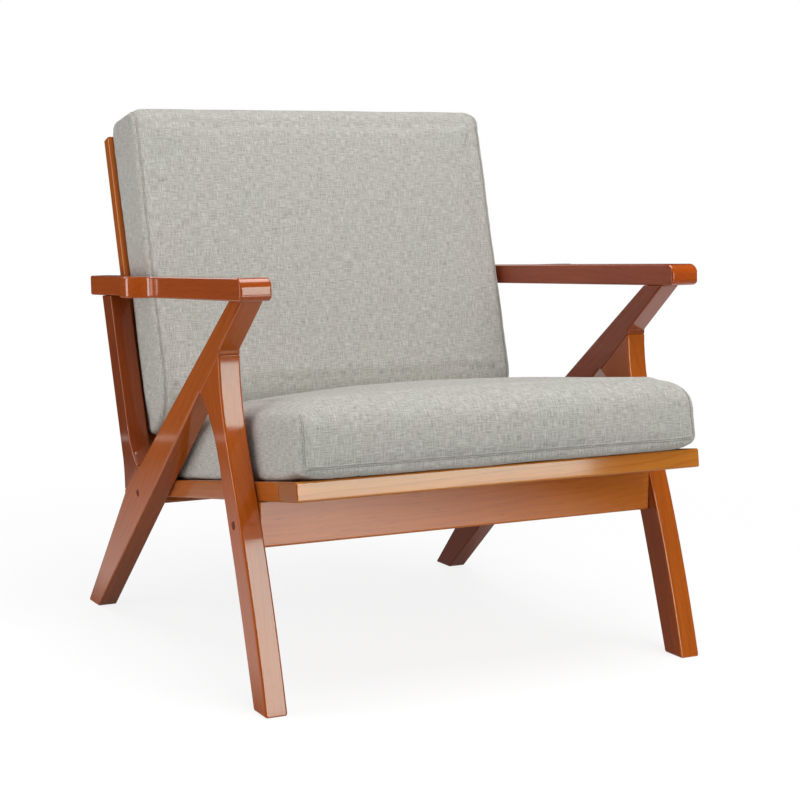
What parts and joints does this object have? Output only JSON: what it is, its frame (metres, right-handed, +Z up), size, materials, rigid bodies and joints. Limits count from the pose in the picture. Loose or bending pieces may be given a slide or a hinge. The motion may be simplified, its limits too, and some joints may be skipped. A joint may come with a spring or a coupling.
{
  "type": "fireside chair",
  "caption": "Low lounge chair with Z-shaped timber side frames, sloping armrests, slatted seat and back frames and loose box cushions.",
  "frame": {"origin": "on the floor under the middle of the chair's box", "axes": "+Z up, the chair faces -Y, +X to its left hand when seated facing -Y"},
  "size_m": [0.747, 0.8038, 0.7925],
  "materials": {
    "stained_timber": "satin lacquer over a warm brown stain",
    "slat_timber": "satin lacquer over a warm brown stain",
    "raw_beech": "unfinished",
    "zinc_steel": "zinc plated",
    "plug": "matte",
    "linen_cover": "heathered linen weave over foam"
  },
  "bodies": {
    "frame": {"front_leg_left": "stained_timber", "upright_left": "stained_timber", "rear_leg_left": "stained_timber", "leg_tenon_left": "raw_beech", "upright_tenon_left": "raw_beech", "arm_tenon_left": "raw_beech", "arm_dowel_left": "raw_beech", "front_leg_right": "stained_timber", "upright_right": "stained_timber", "rear_leg_right": "stained_timber", "leg_tenon_right": "raw_beech", "upright_tenon_right": "raw_beech", "arm_tenon_right": "raw_beech", "arm_dowel_right": "raw_beech", "armrest_left": "stained_timber", "armrest_right": "stained_timber", "front_apron": "stained_timber", "frame_bolt_front_left": "zinc_steel", "barrel_nut_front_left": "zinc_steel", "bolt_plug_front_left": "plug", "frame_bolt_rear_left": "zinc_steel", "barrel_nut_rear_left": "zinc_steel", "bolt_plug_rear_left": "plug", "frame_bolt_front_right": "zinc_steel", "barrel_nut_front_right": "zinc_steel", "bolt_plug_front_right": "plug", "frame_bolt_rear_right": "zinc_steel", "barrel_nut_rear_right": "zinc_steel", "bolt_plug_rear_right": "plug", "seat_front_rail": "stained_timber", "seat_side_rail_left": "stained_timber", "seat_side_rail_right": "stained_timber", "seat_slat_1": "slat_timber", "seat_slat_2": "slat_timber", "seat_slat_3": "slat_timber", "seat_slat_4": "slat_timber", "seat_slat_5": "slat_timber", "seat_slat_6": "slat_timber", "seat_rear_rail": "stained_timber", "back_post_left": "stained_timber", "back_post_right": "stained_timber", "back_bottom_rail": "stained_timber", "back_slat_1": "slat_timber", "back_slat_2": "slat_timber", "back_slat_3": "slat_timber", "back_slat_4": "slat_timber", "back_top_rail": "stained_timber", "back_bolt_lower_left": "zinc_steel", "threaded_insert_lower_left": "zinc_steel", "back_bolt_upper_left": "zinc_steel", "threaded_insert_upper_left": "zinc_steel", "back_bolt_lower_right": "zinc_steel", "threaded_insert_lower_right": "zinc_steel", "back_bolt_upper_right": "zinc_steel", "threaded_insert_upper_right": "zinc_steel"},
    "seat_cushion": {"seat_cushion": "linen_cover"},
    "back_cushion": {"back_cushion": "linen_cover"}
  },
  "joints": [
    {"name": "seat_cushion_slide", "type": "slide", "parent": "frame", "child": "seat_cushion", "axis": [0, -0.9905, 0.1376], "range_m": [0, 0.56]},
    {"name": "back_cushion_slide", "type": "slide", "parent": "frame", "child": "back_cushion", "axis": [0, 0.3041, 0.9526], "range_m": [0, 0.52]}
  ]
}
